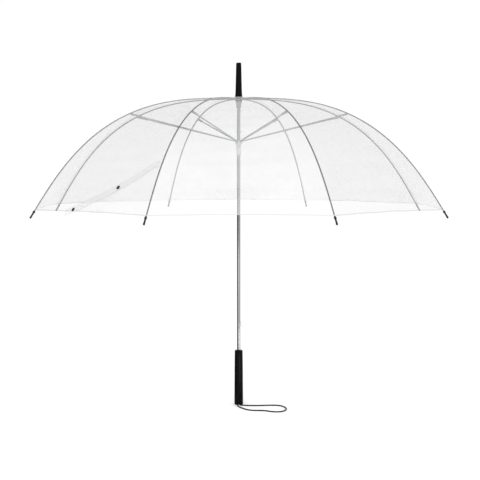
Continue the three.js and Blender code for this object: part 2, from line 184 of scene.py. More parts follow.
def box_mesh(name, low, high):
    x, y, z = zip(low, high)
    verts = [(a, b, c) for a in x for b in y for c in z]
    faces = [(0, 1, 3, 2), (4, 6, 7, 5), (0, 4, 5, 1), (2, 3, 7, 6), (0, 2, 6, 4), (1, 5, 7, 3)]
    return add_mesh(name, verts, faces, smooth=False)


def cut(obj, cutters):
    """Boolean difference, applied; the cutters are removed."""
    for tool in cutters:
        mod = obj.modifiers.new("cut", "BOOLEAN")
        mod.operation = "DIFFERENCE"
        mod.solver = "EXACT"
        mod.object = tool
    bpy.context.view_layer.update()
    shaped = bpy.data.meshes.new_from_object(obj.evaluated_get(bpy.context.evaluated_depsgraph_get()))
    obj.modifiers.clear()
    obj.data = shaped
    for tool in cutters:
        bpy.data.objects.remove(tool)
    for poly in obj.data.polygons:
        poly.use_smooth = True
    return sharpen(obj, 30)


def spin(obj, angle):
    """Turns a mesh about the shaft's axis."""
    obj.data.transform(Matrix.Rotation(angle, 4, "Z"))
    return obj


def sweep(name, points, section, normals):
    """A section of (side, up) offsets carried along points; normals point up at each point."""
    points, normals = np.asarray(points, float), np.asarray(normals, float)
    along = np.gradient(points, axis=0)
    along /= np.linalg.norm(along, axis=1, keepdims=True)
    side = np.cross(along, normals)
    side /= np.linalg.norm(side, axis=1, keepdims=True)
    up = np.cross(side, along)
    section = np.asarray(section, float)
    verts = (points[:, None] + side[:, None] * section[None, :, :1] + up[:, None] * section[None, :, 1:])
    return sharpen(add_mesh(name, verts.reshape(-1, 3), tube_faces(*verts.shape[:2])))


def catmull(points, per_span=24):
    """A smooth line through points."""
    p = np.asarray(points, float)
    p = np.vstack([2 * p[0] - p[1], p, 2 * p[-1] - p[-2]])
    out = []
    for i in range(1, len(p) - 2):
        for t in np.linspace(0, 1, per_span, endpoint=False):
            a, b, c, d = p[i - 1:i + 3]
            out.append(0.5 * (2 * b + (c - a) * t + (2 * a - 5 * b + 4 * c - d) * t * t
                              + (3 * b - a - 3 * c + d) * t ** 3))
    out.append(p[-2])
    return np.array(out)


def resample(points, step):
    """The line at even steps, and its length."""
    length = np.concatenate([[0], np.cumsum(np.linalg.norm(np.diff(points, axis=0), axis=1))])
    at = np.linspace(0, length[-1], max(2, int(length[-1] / step)))
    return np.stack([np.interp(at, length, points[:, i]) for i in range(3)], axis=1), length[-1]


# ------------------------------------------------------------------ wrist cord
CORD_R = 0.0015
CORD_Z = CORD_R + 0.0001
CORD_ROUTE = [(x / 1000, y / 1000, z) for x, y, z in [
    (2.3, -4, 0.0087), (2.3, -4, 0.0054), (2.3, -5.2, 0.0027), (2.3, -7.2, CORD_Z + 0.0002),
    (2.4, -10, CORD_Z), (6, -15.5, CORD_Z), (16, -19.5, CORD_Z), (32, -21.5, CORD_Z),
    (50, -21, CORD_Z), (70, -18.5, CORD_Z), (88, -18.5, CORD_Z), (101, -26, CORD_Z),
    (109, -42, CORD_Z), (111, -62, CORD_Z), (105, -81, CORD_Z), (92, -91, CORD_Z),
    (76, -88, CORD_Z), (62, -79, CORD_Z), (48, -76, CORD_Z), (34, -75, CORD_Z),
    (20, -67, CORD_Z), (8, -50, CORD_Z), (-0.5, -32, CORD_Z), (-2.7, -17, CORD_Z),
    (-2.4, -10, CORD_Z), (-2.3, -7.2, CORD_Z + 0.0002), (-2.3, -5.2, 0.0027),
    (-2.3, -4, 0.0054), (-2.3, -4, 0.0087)]]


def braided_cord(name, route, radius, strands=8, pitch=0.0065, sides=24, step=0.0004):
    """A round braid: strands wind both ways and pass over one another."""
    line, length = resample(catmull(route), step)
    along = np.gradient(line, axis=0)
    along /= np.linalg.norm(along, axis=1, keepdims=True)
    side = np.cross(along, (0, 0, 1.0))
    bad = np.linalg.norm(side, axis=1) < 0.2
    side[bad] = (1.0, 0, 0)
    for i in range(1, len(side)):               # carried along, so it never flips
        s = side[i - 1] - along[i] * (side[i - 1] @ along[i])
        side[i] = s / np.linalg.norm(s)
    up = np.cross(side, along)
    angle = np.linspace(0, 2 * math.pi, sides, endpoint=False)
    travel = np.linspace(0, length, len(line))[:, None] / pitch * 2 * math.pi
    a = np.abs(np.sin((angle[None] * strands / 2 + travel) / 2))
    b = np.abs(np.sin((angle[None] * strands / 2 - travel) / 2))
    relief = np.maximum(a, b) ** 0.6
    r = radius * (0.88 + 0.12 * relief)
    verts = line[:, None] + r[..., None] * (side[:, None] * np.cos(angle)[None, :, None]
                                            + up[:, None] * np.sin(angle)[None, :, None])
    cord_mesh = add_mesh(name, verts.reshape(-1, 3), tube_faces(*verts.shape[:2]),
                         attributes={"relief": relief.ravel()})
    return cord_mesh, line, length


cord, cord_line, cord_length = braided_cord("wrist_cord_braid", CORD_ROUTE, CORD_R)
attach(cord, "shaft")
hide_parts("wrist_cord")


# ------------------------------------------------------------------ materials
def material(name, color, roughness, metallic=0.0, **sockets):
    """A new Principled material with its constants on the shader's own sockets."""
    mat = bpy.data.materials.new(name)
    mat.use_nodes = True
    nodes, links = mat.node_tree.nodes, mat.node_tree.links
    shader = nodes["Principled BSDF"]
    shader.inputs["Base Color"].default_value = (*color, 1)
    shader.inputs["Roughness"].default_value = roughness
    shader.inputs["Metallic"].default_value = metallic
    for key, value in sockets.items():
        shader.inputs[key.replace("_", " ").title().replace("Ior", "IOR")].default_value = value
    return mat, nodes, links, shader


def noise(nodes, links, scale, stretch=(1, 1, 1), detail=3.0):
    """Noise in the piece's own coordinates."""
    coords = nodes.new("ShaderNodeTexCoord")
    mapping = nodes.new("ShaderNodeMapping")
    mapping.inputs["Scale"].default_value = stretch
    texture = nodes.new("ShaderNodeTexNoise")
    texture.inputs["Scale"].default_value = scale
    texture.inputs["Detail"].default_value = detail
    links.new(coords.outputs["Object"], mapping.inputs["Vector"])
    links.new(mapping.outputs["Vector"], texture.inputs["Vector"])
    return texture.outputs["Fac"]


def ramp(nodes, links, value, low, high, from_low=0.35, from_high=0.65):
    """value mapped to low..high; noise seldom leaves 0.35..0.65."""
    node = nodes.new("ShaderNodeMapRange")
    node.inputs["From Min"].default_value = from_low
    node.inputs["From Max"].default_value = from_high
    node.inputs["To Min"].default_value = low
    node.inputs["To Max"].default_value = high
    links.new(value, node.inputs["Value"])
    return node.outputs["Result"]


def mix_color(nodes, links, factor, low, high):
    node = nodes.new("ShaderNodeMix")
    node.data_type = "RGBA"
    node.inputs["A"].default_value = (*low, 1)
    node.inputs["B"].default_value = (*high, 1)
    links.new(factor, node.inputs["Factor"])
    return node.outputs["Result"]


def bump(nodes, links, shader, height, strength, distance):
    node = nodes.new("ShaderNodeBump")
    node.inputs["Strength"].default_value = strength
    node.inputs["Distance"].default_value = distance
    links.new(height, node.inputs["Height"])
    links.new(node.outputs["Normal"], shader.inputs["Normal"])


def metal(name, low, high, roughness, stretch, scale):
    """Drawn or rolled steel: streaks along the piece in colour, polish and relief."""
    mat, nodes, links, shader = material(name, high, roughness, 1.0)
    streak = noise(nodes, links, scale, stretch, 4.0)
    links.new(mix_color(nodes, links, streak, low, high), shader.inputs["Base Color"])
    links.new(ramp(nodes, links, streak, roughness * 0.75, roughness * 1.35), shader.inputs["Roughness"])
    bump(nodes, links, shader, streak, 0.005, 0.0001)
    return mat


def plastic(name, low, high, roughness, grain=900.0, relief=0.02, **sockets):
    """Moulded plastic: patches in colour and gloss, and a fine grain."""
    mat, nodes, links, shader = material(name, high, roughness, **sockets)
    patch = noise(nodes, links, 60.0)
    fine = noise(nodes, links, grain, detail=2.0)
    links.new(mix_color(nodes, links, patch, low, high), shader.inputs["Base Color"])
    links.new(ramp(nodes, links, patch, roughness * 0.8, roughness * 1.3), shader.inputs["Roughness"])
    bump(nodes, links, shader, fine, relief, 0.0001)
    return mat


def film_material(name, veil, edge_name, edge_width, edge_veil, near_rib=None):
    """Clear film with a faint milky veil, patchy haze and fine handling marks."""
    mat, nodes, links, shader = material(name, (0.63, 0.63, 0.63), 0.12, specular_ior_level=0.3)
    haze = noise(nodes, links, 9.0, detail=4.0)
    marks = noise(nodes, links, 55.0, (1, 1, 0.35), 3.0)
    alpha = ramp(nodes, links, haze, veil * 0.9, veil * 1.12)
    if near_rib is not None:
        distance = nodes.new("ShaderNodeAttribute")
        distance.attribute_name = "rib_distance"
        blend = nodes.new("ShaderNodeMapRange")
        blend.inputs["From Min"].default_value = 0.0012
        blend.inputs["From Max"].default_value = 0.005
        blend.inputs["To Min"].default_value = near_rib
        links.new(distance.outputs["Fac"], blend.inputs["Value"])
        links.new(alpha, blend.inputs["To Max"])
        alpha = blend.outputs["Result"]
    edge = nodes.new("ShaderNodeAttribute")
    edge.attribute_name = edge_name
    fold = nodes.new("ShaderNodeMapRange")
    fold.inputs["From Min"].default_value = edge_width
    fold.inputs["From Max"].default_value = edge_width * 1.25
    fold.inputs["To Min"].default_value = edge_veil
    links.new(edge.outputs["Fac"], fold.inputs["Value"])
    links.new(alpha, fold.inputs["To Max"])
    links.new(fold.outputs["Result"], shader.inputs["Alpha"])
    folded = nodes.new("ShaderNodeMix")
    folded.data_type = "RGBA"
    folded.inputs["A"].default_value = (0.42, 0.422, 0.424, 1)
    links.new(mix_color(nodes, links, haze, (0.53, 0.532, 0.533), (0.585, 0.586, 0.587)), folded.inputs["B"])
    links.new(ramp(nodes, links, edge.outputs["Fac"], 0.0, 1.0, edge_width, edge_width * 1.25),
              folded.inputs["Factor"])
    links.new(folded.outputs["Result"], shader.inputs["Base Color"])
    links.new(ramp(nodes, links, marks, 0.09, 0.2), shader.inputs["Roughness"])
    bump(nodes, links, shader, marks, 0.01, 0.0006)
    return mat


SHAFT_STEEL = metal("shaft_steel", (0.25, 0.257, 0.261), (0.35, 0.358, 0.362), 0.16, (1, 1, 0.03), 900)
SPRING_STEEL = metal("spring_steel", (0.12, 0.123, 0.126), (0.22, 0.225, 0.23), 0.28, (1, 1, 0.1), 700)
RIB_STEEL = metal("rib_steel", (0.06, 0.062, 0.066), (0.13, 0.135, 0.14), 0.38, (1, 1, 1), 400)
STRETCHER_STEEL = metal("stretcher_steel", (0.2, 0.205, 0.21), (0.36, 0.365, 0.37), 0.36, (1, 1, 1), 350)
BLACK = plastic("black_plastic", (0.002, 0.0023, 0.0026), (0.004, 0.0044, 0.0048), 0.12,
                specular_ior_level=0.045)
TIP_BLACK = plastic("tip_plastic", (0.006, 0.0065, 0.007), (0.016, 0.017, 0.018), 0.32,
                    specular_ior_level=0.3)
SNAP_BLACK = plastic("snap_plastic", (0.005, 0.005, 0.006), (0.012, 0.012, 0.014), 0.22,
                     specular_ior_level=0.25)
MILKY = plastic("clear_plastic", (0.40, 0.415, 0.42), (0.52, 0.535, 0.54), 0.3, ior=1.49, alpha=0.8)
SMOKY = plastic("smoky_plastic", (0.15, 0.153, 0.156), (0.23, 0.234, 0.238), 0.3, ior=1.49, alpha=0.9)
FILM = film_material("clear_film", 0.42, "hem_distance", 0.0022, 0.72, near_rib=0.16)
STRAP = film_material("strap_film", 0.42, "edge_distance", 0.0016, 0.5)


def cord_material():
    """Matt black braid with fibres; painted shade makes it darker between the strands."""
    mat, nodes, links, shader = material("cord", (0.012, 0.012, 0.013), 0.75)
    relief = nodes.new("ShaderNodeAttribute")
    relief.attribute_name = "relief"
    fibres = noise(nodes, links, 2500.0, detail=2.0)
    # painted shade: the base colour is darker where the relief sinks between the strands
    links.new(mix_color(nodes, links, relief.outputs["Fac"], (0.0015, 0.0015, 0.0015), (0.008, 0.008, 0.009)),
              shader.inputs["Base Color"])
    links.new(ramp(nodes, links, fibres, 0.6, 0.9), shader.inputs["Roughness"])
    bump(nodes, links, shader, fibres, 0.3, 0.0001)
    shader.inputs["Specular IOR Level"].default_value = 0.1
    shader.inputs["Sheen Weight"].default_value = 0.01
    return mat


cord.data.materials.append(cord_material())


def place(obj, body, mat, slot, *nodes):
    """Gives a piece its material, its body and the CAD nodes that it stands for."""
    obj.data.materials.clear()
    obj.data.materials.append(mat)
    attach(obj, body)
    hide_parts(*nodes)
    return obj


# ------------------------------------------------------------------ rib curve
RIB_LENGTH = 0.6
RIB_DROOP = math.radians(58)
RIB_W, RIB_H = 0.0024, 0.0026
HEM_S, SCALLOP = 0.580, 0.003
FILM_START_S = 0.002
FILM_RISE = 0.00175                         # film above the middle of the rib
WIRE_R = math.hypot(*JOINTS["rib_hinge_1"]["pos_m"][:2])
CROWN_Z = JOINTS["rib_hinge_1"]["pos_m"][2]

_s = np.linspace(0, RIB_LENGTH, 1201)
_droop = RIB_DROOP * (1 - np.cos(math.pi * _s / RIB_LENGTH)) / 2
_step = _s[1]
_mid = (_droop[1:] + _droop[:-1]) / 2
_r = WIRE_R + np.concatenate([[0], np.cumsum(np.cos(_mid)) * _step])
_z = CROWN_Z - np.concatenate([[0], np.cumsum(np.sin(_mid)) * _step])


def rib_point(s, h=0.0):
    """(r, z, droop) of the point s along the rib and h above its middle."""
    a = np.interp(s, _s, _droop)
    return np.interp(s, _s, _r) + h * np.sin(a), np.interp(s, _s, _z) + h * np.cos(a), a


FLEX_R, FLEX_Z = math.hypot(*JOINTS["rib_flex_1"]["pos_m"][:2]), JOINTS["rib_flex_1"]["pos_m"][2]
JOINT_S = float(np.interp(FLEX_R, _r, _s))  # how far along the rib the flex joint lies
SPLIT_SAG = 0.031                           # the film's split line dips this much by mid-gore


def rib_axes(k):
    """Outward, sideways and upward at rib k."""
    a = (2 * k - 1) * ALPHA
    return (np.array([math.cos(a), math.sin(a), 0]), np.array([-math.sin(a), math.cos(a), 0]),
            np.array([0, 0, 1.0]))


def wrinkles(gore, across, s):
    """Height of the film's fine waves; nothing at the ribs, at the crown and at the split of s."""
    span = np.sin(np.pi * across)           # across runs 0..1 from rib to rib
    phase = gore * 2.399
    waves = (np.sin(s * 95 + 2.1 * np.sin(across * 7 + phase) + phase)
             + 0.6 * np.sin(s * 170 + 3 * across + 2 * phase))
    body = 0.0008 * span ** 1.5 * waves * np.clip((s - 0.08) / 0.15, 0, 1)
    near_hem = np.exp(-((HEM_S - s) / 0.05) ** 2)
    puckers = 0.0009 * near_hem * span * np.sin(across * 23 + phase + s * 30)
    return body + puckers


def film_point(k, s, v, h):
    """A point h above the film, v of the way from rib k (0) to mid-gore (-1 or 1)."""
    radial, tangent, up = rib_axes(k)
    r, z, droop = rib_point(s, FILM_RISE)
    half = r * math.sin(ALPHA)
    across = np.abs(v) * half
    sign = np.where(v < 0, -1.0, 1.0)
    edge = np.maximum(0, 1 - across / 0.0013)           # over the rib the film lies flat
    sink = across * math.sin(ALPHA) * (1 - edge)
    x, t = r - sink, sign * across * math.cos(ALPHA)
    gore = np.where(v < 0, k - 1, k) % RIBS
    frac = np.where(v < 0, 1 - np.abs(v) / 2, np.abs(v) / 2)
    lift = h + wrinkles(gore, frac, s)
    nx, nt = np.sin(droop) * math.cos(ALPHA), sign * np.sin(droop) * math.sin(ALPHA)
    nz = np.cos(droop) * math.cos(ALPHA)
    size = np.sqrt(nx ** 2 + nt ** 2 + nz ** 2)
    x, t, z = x + lift * nx / size, t + lift * nt / size, z + lift * nz / size
    return x[..., None] * radial + t[..., None] * tangent + z[..., None] * up


# ------------------------------------------------------------------ canopy film
COLUMNS = np.concatenate([np.linspace(-1, -0.03, 14), [-0.012, 0, 0.012], np.linspace(0.03, 1, 14)])
KEEP_INNER, KEEP_OUTER = 0.15, 0.075        # the film's width when closed, as a share of its open width


def squash_with(obj):
    """Gives a piece its own copy of its mesh."""
    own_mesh(obj)


def film_panel(name, k, start, end, rows):
    """A film panel round rib k; start and end give s at each column."""
    v = np.broadcast_to(COLUMNS, (rows, len(COLUMNS)))
    t = np.linspace(0, 1, rows)[:, None]
    s = start(np.abs(v)) * (1 - t) + end(np.abs(v)) * t
    verts = film_point(k, s, v, np.zeros_like(s))
    distance = np.abs(v) * np.interp(s, _s, _r) * math.sin(ALPHA)
    panel = add_mesh(name, verts.reshape(-1, 3), grid_faces(rows, len(COLUMNS)),
                     attributes={"rib_distance": distance.ravel(),
                                 "hem_distance": (hem_s(np.abs(v)) - s).ravel()})
    # shading that runs on across the joins with the next panels
    d = 2e-3
    over = np.where(v < 0, v + d, v - d)
    ds = film_point(k, s + 1e-4, v, np.zeros_like(s)) - film_point(k, s - 1e-4, v, np.zeros_like(s))
    dv = (verts - film_point(k, s, over, np.zeros_like(s))) * np.sign(v - over)[..., None]
    normals = np.cross(dv, ds)
    normals *= np.sign(normals[..., 2:3])
    normals /= np.linalg.norm(normals, axis=-1, keepdims=True)
    bm = bmesh.new()
    bm.from_mesh(panel.data)
    if sum(f.normal.z for f in bm.faces) < 0:
        bmesh.ops.reverse_faces(bm, faces=bm.faces)
    bm.to_mesh(panel.data)
    bm.free()
    panel.data.normals_split_custom_set_from_vertices(normals.reshape(-1, 3).tolist())
    return panel


def split_s(v):
    """Where the inner panel ends and the outer one starts, v of the way to mid-gore."""
    return JOINT_S + SPLIT_SAG * v ** 1.5


def hem_s(v):
    """Where the hem runs, v of the way to mid-gore."""
    return HEM_S - SCALLOP * v


for k in range(1, RIBS + 1):
    for part, start, end, rows, keep, body in (
            ("inner", lambda v: FILM_START_S + 0 * v, split_s, 44, KEEP_INNER, f"rib_{k}"),
            ("outer", split_s, hem_s, 64, KEEP_OUTER, f"rib_end_{k}")):
        panel = film_panel(f"film_{part}_{k}", k, start, end, rows)
        place(panel, body, FILM, "clear_film", f"canopy_{part}_{k}")
        squash_with(panel)


# ------------------------------------------------------------------ ribs
EYE_HOLE_R, SECTION_WALL = 0.0007, 0.0005   # shared by the ribs and the stretchers


def channel_section(width, height, wall, lips=5):
    """A fluted steel section: a U with a round back, open underneath."""
    back = [(width / 2 * math.cos(a), height / 2 - width / 2 + width / 2 * math.sin(a))
            for a in np.linspace(0, math.pi, lips)]
    inner = width / 2 - wall
    inside = [(inner * math.cos(a), height / 2 - width / 2 + inner * math.sin(a))
              for a in np.linspace(math.pi, 0, lips)]
    return back + [(-width / 2, -height / 2), (-inner, -height / 2)] + inside + [
        (inner, -height / 2), (width / 2, -height / 2)]


def extruded(outline, y0, y1):
    """Verts and faces of an (x, z) outline run from y0 to y1."""
    n = len(outline)
    verts = [(x, y, z) for y in (y0, y1) for x, z in outline]
    faces = [(i, (i + 1) % n, n + (i + 1) % n, n + i) for i in range(n)]
    return verts, faces + [tuple(range(n))[::-1], tuple(range(n, 2 * n))]


def disc(x, z, radius, sides=28, start=0.0, end=2 * math.pi):
    """The outline of a circle or of an arc of it."""
    full = abs(end - start - 2 * math.pi) < 1e-6
    return [(x + radius * math.cos(a), z + radius * math.sin(a))
            for a in np.linspace(start, end, sides, endpoint=not full)]


def joined(name, parts):
    """One mesh of several (verts, faces) islands."""
    verts, faces = [], []
    for v, f in parts:
        faces += [tuple(len(verts) + i for i in face) for face in f]
        verts += list(v)
    return sharpen(add_mesh(name, verts, faces))


def mesh_parts(obj):
    """The (verts, faces) of an object's mesh; the object is removed."""
    made = ([tuple(v.co) for v in obj.data.vertices], [tuple(p.vertices) for p in obj.data.polygons])
    bpy.data.objects.remove(obj)
    return made


def ringed(outer, inner, y0, y1):
    """An eye: a closed (x, z) outline with a round hole of the same number of points."""
    n = len(outer)
    verts = [(x, y, z) for ring in (outer, inner) for y in (y0, y1) for x, z in ring]
    faces = []
    for i in range(n):
        j = (i + 1) % n
        faces += [(i, j, n + j, n + i), (2 * n + i, 3 * n + i, 3 * n + j, 2 * n + j),
                  (i, 2 * n + i, 2 * n + j, j), (n + i, n + j, 3 * n + j, 3 * n + i)]
    return verts, faces


def rib_turn(obj, k):
    """Turns a piece made in the x-z plane to rib k."""
    return spin(obj, (2 * k - 1) * ALPHA)


# the rivet that joins a stretcher to its rib, in the rib's own (r, z) plane
WIRE_THIN = 0.0004                          # radius of the crown wire and of the runner wire
wire_low, wire_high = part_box("runner_wire")
RUNNER_WIRE = (wire_high.y - WIRE_THIN, (wire_low.z + wire_high.z) / 2)
RIVET_S, RIVET_DROP = 0.262, 0.003
_r0, _z0, _a0 = rib_point(RIVET_S)
RIVET = (_r0 - RIVET_DROP * math.sin(_a0), _z0 - RIVET_DROP * math.cos(_a0))
RIB_EYE_R, LUG_R, LUG_RISE, RIVET_HOLE_R = 0.0017, 0.0021, 0.0012, 0.0011
TANG_R, BLEND_REACH = 0.0008, 0.006


def in_rib_plane(s):
    """Points along the rib in the x-z plane, and the way up at each."""
    r, z, a = rib_point(s)
    return np.stack([r, 0 * r, z], axis=1), np.stack([np.sin(a), 0 * a, np.cos(a)], axis=1)


for k in range(1, RIBS + 1):
    # the fluted bar, its eye on the crown wire, its lug at the rivet and its thin end in the tip
    line, up = in_rib_plane(np.linspace(0.0016, RIB_LENGTH - 0.0205, 150))
    bar = mesh_parts(sweep("bar", line, channel_section(RIB_W, RIB_H, SECTION_WALL), up))
    eye = ringed(disc(WIRE_R, CROWN_Z, RIB_EYE_R), disc(WIRE_R, CROWN_Z, EYE_HOLE_R), -RIB_W / 2, RIB_W / 2)
    lug_outline = [(RIVET[0] + LUG_R * math.cos(t),
                    RIVET[1] + LUG_R * math.sin(t) + (LUG_RISE if math.sin(t) > 0 else 0))
                   for t in np.linspace(0, 2 * math.pi, 28, endpoint=False)]
    lug = ringed(lug_outline, disc(*RIVET, RIVET_HOLE_R), -RIB_W / 2, RIB_W / 2)
    line, _ = in_rib_plane(np.linspace(RIB_LENGTH - 0.0225, RIB_LENGTH - 0.004, 6))
    tang = mesh_parts(sweep("tang", line, disc(0, 0, TANG_R, 12), np.tile((0, 0, 1.0), (len(line), 1))))
    rib = rib_turn(joined(f"fluted_rib_{k}", [bar, eye, lug, tang]), k)
    rib.data.materials.append(RIB_STEEL)
    radial, _, up = rib_axes(k)
    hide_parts(f"rib_{k}")
    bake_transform(rib)


# ------------------------------------------------------------------ stretchers
span = np.array([RIVET[0] - RUNNER_WIRE[0], RIVET[1] - RUNNER_WIRE[1]])
STRETCHER_L = float(np.linalg.norm(span))
STRETCHER_TILT = math.atan2(span[1], span[0])
SLOT_W, CHEEK = 0.0030, 0.0008
FORK_W = SLOT_W + 2 * CHEEK
STRETCHER_W, STRETCHER_H, STRETCHER_EYE_R = 0.0024, 0.0026, 0.0013
FORK_H, RIVET_R = 0.0021, 0.0008            # half the fork's height, and the rivet's radius


def local_to_rib(parts):
    """Moves parts made along x from the runner wire into the rib's plane."""
    c, sn = math.cos(STRETCHER_TILT), math.sin(STRETCHER_TILT)
    return [([(RUNNER_WIRE[0] + x * c - z * sn, y, RUNNER_WIRE[1] + x * sn + z * c) for x, y, z in verts], faces)
            for verts, faces in parts]


def stretcher_parts():
    """The bar with its eye, and the forked clasp with its rivet."""
    x = np.linspace(0.0008, STRETCHER_L - 0.022, 60)
    line = np.stack([x, 0 * x, 0 * x], axis=1)
    up = np.tile((0, 0, 1.0), (len(x), 1))
    bar = mesh_parts(sweep("bar", line, channel_section(STRETCHER_W, STRETCHER_H, SECTION_WALL), up))
    eye = ringed(disc(0, 0, STRETCHER_EYE_R), disc(0, 0, EYE_HOLE_R), -STRETCHER_W / 2, STRETCHER_W / 2)
    L, h = STRETCHER_L, FORK_H
    # the clasp: pressed round the bar, then two cheeks with rounded noses
    x = np.array([L - 0.026, L - 0.0252, L - 0.024, L - 0.010, L - 0.0068, L - 0.0062])
    scale = np.array([0.62, 0.86, 1, 1, 1, 0.96])
    ring = np.array(rounded_box(FORK_W / 2, h, 0.0009))
    verts = np.stack([np.stack([np.full(len(ring), xi), ring[:, 0] * si, ring[:, 1] * si], axis=1)
                      for xi, si in zip(x, scale)])
    clasp = (verts.reshape(-1, 3).tolist(), tube_faces(*verts.shape[:2]))
    nose = disc(L, 0, h, 16, -math.pi / 2, math.pi / 2)
    outline = [(L - 0.0075, -h * 0.94)] + nose + [(L - 0.0075, h * 0.94)]
    cheeks = [extruded(outline, y0, y1) for y0, y1 in
              ((-FORK_W / 2, -SLOT_W / 2), (SLOT_W / 2, FORK_W / 2))]
    v, f = mesh_parts(turned("pin", [(0, -FORK_W / 2), (RIVET_R, -FORK_W / 2), (RIVET_R, FORK_W / 2),
                                     (0, FORK_W / 2)], 20))
    pin = ([(L + x, z, y) for x, y, z in v], f)
    heads = []
    for side in (-1, 1):
        v, f = mesh_parts(turned("head", [(0, 0.00055), (0.0008, 0.00055), (0.0013, 0.0004),
                                          (0.0015, 0.0001), (0.0015, 0), (0, 0)], 20))
        heads.append(([(L + x, side * (FORK_W / 2 + z - 0.0001), y) for x, y, z in v], f))
    # two pressed dimples that grip the bar
    dimples = []
    for at in (L - 0.021, L - 0.013):
        for side in (-1, 1):
            v, f = mesh_parts(turned("dimple", [(0, 0.0003), (0.0005, 0.00024), (0.0008, 0), (0, -0.0002)], 14))
            dimples.append(([(at + x, side * (FORK_W / 2 + z - 0.00005), y) for x, y, z in v], f))
    return local_to_rib([bar, eye, clasp, *cheeks, pin, *heads, *dimples])


def rounded_box(half_w, half_h, radius, steps=5):
    """A rounded rectangle's outline, centred on the origin."""
    out = []
    for cx, cy, a0 in ((1, 1, 0), (-1, 1, 90), (-1, -1, 180), (1, -1, 270)):
        for a in np.linspace(a0, a0 + 90, steps):
            out.append((cx * (half_w - radius) + radius * math.cos(math.radians(a)),
                        cy * (half_h - radius) + radius * math.sin(math.radians(a))))
    return out


shared_stretcher = stretcher_parts()
for k in range(1, RIBS + 1):
    piece = rib_turn(joined(f"forked_stretcher_{k}", shared_stretcher), k)
    place(piece, f"stretcher_{k}", STRETCHER_STEEL, "stretcher_steel", f"stretcher_{k}")


# ------------------------------------------------------------------ rib tips
TIP_SLEEVE = 0.0195                         # how much of the rib the tip covers
tip_from = np.array(rib_point(RIB_LENGTH - TIP_SLEEVE)[:2])
tip_to = np.array(rib_point(RIB_LENGTH)[:2])
TIP_L = float(np.linalg.norm(tip_to - tip_from))


def smooth_profile(points, per_span):
    line = catmull([(r, z, 0) for r, z in points], per_span)
    return [(float(max(r, 0)), float(z)) for r, z, _ in line]


tip_profile = ([(0, 0), (0.0020, 0), (0.00222, 0.0003), (0.00224, 0.0014), (0.0027, 0.0020), (0.0029, 0.0026),
                (0.0029, 0.0038), (0.0027, 0.0043), (0.0021, 0.0048)]
               + smooth_profile([(0.0020, 0.0056), (0.00188, 0.009), (0.00196, 0.0128), (0.00222, 0.0158),
                                 (0.00225, 0.0175), (0.0018, 0.0189), (0.0009, TIP_L - 0.0001)], 5)
               + [(0, TIP_L)])
for k in range(1, RIBS + 1):
    v, f = mesh_parts(turned("tip", tip_profile, 32))
    d = (tip_to - tip_from) / TIP_L
    v = [(tip_from[0] + d[0] * z + d[1] * x, y, tip_from[1] + d[1] * z - d[0] * x) for x, y, z in v]
    tip = rib_turn(joined(f"rounded_tip_{k}", [(v, f)]), k)
    place(tip, f"rib_end_{k}", TIP_BLACK, "tip_plastic", f"rib_tip_{k}")


# ------------------------------------------------------------------ shaft, ferrule, cap
SHAFT_R, SHAFT_WALL, GAP = 0.004, 0.0006, 0.0003
BORE = SHAFT_R - SHAFT_WALL
shaft_low, shaft_high = (c.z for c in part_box("shaft_tube"))
runner_low, runner_high = (c.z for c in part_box("runner"))
pin_z = sum(c.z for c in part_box("stop_pin")) / 2
crown_low, crown_high = (c.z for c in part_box("crown"))
crown_pin_z = sum(c.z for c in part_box("crown_pin")) / 2
ferrule_low, ferrule_high = (c.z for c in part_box("ferrule"))
cap_low, cap_high = (c.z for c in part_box("canopy_cap"))
BOTTOM_STEP, TOP_STEP = 0.1905, runner_low - GAP
SPRING_SLOT, SLOT_REACH = 0.0013, 0.015
STOP_PIN_R, STOP_PIN_PROUD = 0.001, 0.0032
CROWN_PIN_R, CROWN_PIN_L = 0.0009, 0.0108
CROWN_RIM_R, RUNNER_BORE = 0.0108, SHAFT_R + 0.00039


def pin_along_x(name, radius, length, z, sides=24):
    """A round pin across the shaft, with eased ends."""
    v, f = mesh_parts(turned(name, rounded([(0, -length / 2), (radius, -length / 2), (radius, length / 2),
                                            (0, length / 2)], radius * 0.3, 3), sides))
    return add_mesh(name, [(c, b, a + z) for a, b, c in v], f)


shaft = turned("shaft", rounded([(SHAFT_R, shaft_low), (SHAFT_R, shaft_high), (BORE, shaft_high),
                                 (BORE, shaft_low)], 0.0002, 2), 96)
cut(shaft, [spin(box_mesh("slot", (0.001, -SPRING_SLOT, TOP_STEP - SLOT_REACH),
                          (0.006, SPRING_SLOT, TOP_STEP + 0.001)), math.pi / 2),
            box_mesh("slot", (0.001, -SPRING_SLOT, BOTTOM_STEP - 0.001),
                     (0.006, SPRING_SLOT, BOTTOM_STEP + SLOT_REACH)),
            pin_along_x("hole", STOP_PIN_R + GAP / 2, 0.024, pin_z),
            pin_along_x("hole", CROWN_PIN_R + GAP / 2, 0.024, crown_pin_z)])
place(shaft, "shaft", SHAFT_STEEL, "shaft_steel", "shaft_tube")

pin = sharpen(pin_along_x("cross_pin", STOP_PIN_R, 2 * (SHAFT_R + STOP_PIN_PROUD), pin_z))
place(pin, "shaft", SHAFT_STEEL, "shaft_steel", "stop_pin")
pin = sharpen(pin_along_x("crown_rivet", CROWN_PIN_R, CROWN_PIN_L, crown_pin_z))
place(pin, "shaft", SPRING_STEEL, "spring_steel", "crown_pin")


def wire_ring(name, radius, z):
    """A ring of wire about the shaft."""
    around, about = (np.linspace(0, 2 * math.pi, count, endpoint=False) for count in (96, 12))
    verts = [((radius + WIRE_THIN * math.cos(q)) * math.cos(p), (radius + WIRE_THIN * math.cos(q)) * math.sin(p),
              z + WIRE_THIN * math.sin(q)) for p in around for q in about]
    return add_mesh(name, verts, grid_faces(len(around), len(about), True, True))


